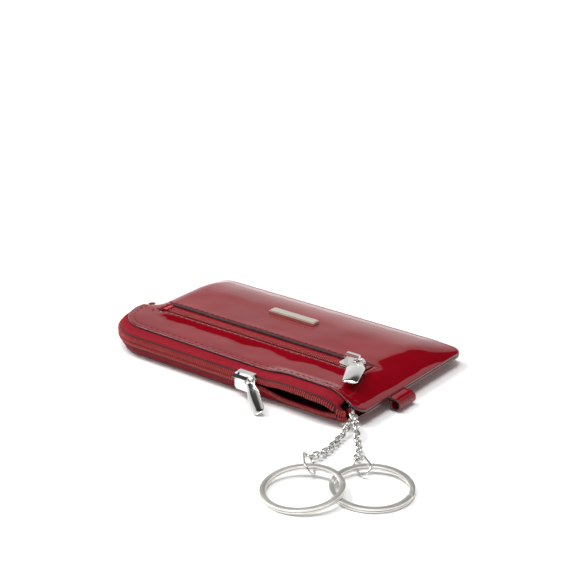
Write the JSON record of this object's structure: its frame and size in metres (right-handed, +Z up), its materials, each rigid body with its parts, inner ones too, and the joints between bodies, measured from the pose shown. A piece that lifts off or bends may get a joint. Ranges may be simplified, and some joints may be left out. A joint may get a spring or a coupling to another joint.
{
  "type": "zip key pouch",
  "caption": "Flat patent leather key pouch with an L-shaped coil zip round the mouth, a zipped slip pocket on the front, a side strap loop and chains with split key rings.",
  "frame": {"origin": "middle of the back face that the pouch lies on", "axes": "+X along the long side towards the strap loop and chains, +Y towards the folded bottom edge, +Z up out of the front"},
  "size_m": [0.1646, 0.1326, 0.0152],
  "materials": {
    "patent_leather": "glossy",
    "fabric_lining": "matte",
    "zip_tape": "matte",
    "nylon_coil": "satin",
    "nickel": "polished",
    "satin_nickel": "satin",
    "emblem_metal": "polished"
  },
  "bodies": {
    "pouch": {"back_panel": "patent_leather", "front_panel": "patent_leather", "back_lining": "fabric_lining", "pocket_bag": "fabric_lining", "zip_tape_upper": "zip_tape", "zip_tape_lower": "zip_tape", "mouth_tape_upper": "zip_tape", "mouth_tape_lower": "zip_tape", "zip_coil_upper": "nylon_coil", "zip_coil_lower": "nylon_coil", "zip_end_cap": "zip_tape", "zip_top_stops": "nylon_coil", "pocket_tape_near": "zip_tape", "pocket_tape_far": "zip_tape", "pocket_coil_near": "nylon_coil", "pocket_coil_far": "nylon_coil", "pocket_end_stops": "nylon_coil", "emblem_bar": "emblem_metal", "emblem_washers": "nickel", "strap_loop": "patent_leather", "chain_tab": "patent_leather", "anchor_ring": "satin_nickel"},
    "main_slider": {"main_slider": "nickel"},
    "main_puller": {"main_puller": "nickel"},
    "pocket_slider": {"pocket_slider": "nickel"},
    "pocket_puller": {"pocket_puller": "nickel"},
    "chain_a": {"chain_a_links": "satin_nickel", "jump_ring_a": "satin_nickel"},
    "key_ring_a": {"key_ring_a": "satin_nickel"},
    "chain_b": {"chain_b_links": "satin_nickel", "jump_ring_b": "satin_nickel"},
    "key_ring_b": {"key_ring_b": "satin_nickel"}
  },
  "joints": [
    {"name": "main_slide", "type": "slide", "parent": "pouch", "child": "main_slider", "axis": [1, 0, 0], "range_m": [-0.042, 0.027], "deforming": ["zip_coil_upper", "zip_coil_lower", "mouth_tape_upper", "mouth_tape_lower"]},
    {"name": "main_puller_swing", "type": "hinge", "parent": "main_slider", "child": "main_puller", "pos_m": [0.01655, -0.04037, 0.00858], "axis": [0, -0.7431, 0.6691], "range_deg": [0, 82]},
    {"name": "pocket_slide", "type": "slide", "parent": "pouch", "child": "pocket_slider", "axis": [1, 0, 0], "range_m": [-0.083, 0], "deforming": ["pocket_coil_near", "pocket_coil_far"]},
    {"name": "pocket_puller_swing", "type": "hinge", "parent": "pocket_slider", "child": "pocket_puller", "pos_m": [0.04355, -0.01, 0.01275], "axis": [0, 0, 1], "range_deg": [-30, 60]},
    {"name": "chain_a_swing", "type": "hinge", "parent": "pouch", "child": "chain_a", "pos_m": [0.0586, -0.035, 0.00385], "axis": [0, 0, 1], "range_deg": [-40, 0]},
    {"name": "key_ring_a_spin", "type": "hinge", "parent": "chain_a", "child": "key_ring_a", "pos_m": [0.0724, -0.082, 0.0023], "axis": [-0.0363, -0.1004, 0.9943], "continuous": true},
    {"name": "chain_b_swing", "type": "hinge", "parent": "pouch", "child": "chain_b", "pos_m": [0.0586, -0.035, 0.00575], "axis": [0, 0, 1], "range_deg": [0, 40]},
    {"name": "key_ring_b_spin", "type": "hinge", "parent": "chain_b", "child": "key_ring_b", "pos_m": [0.089, -0.067, 0.00153], "axis": [0.0392, -0.0341, 0.9986], "continuous": true}
  ]
}
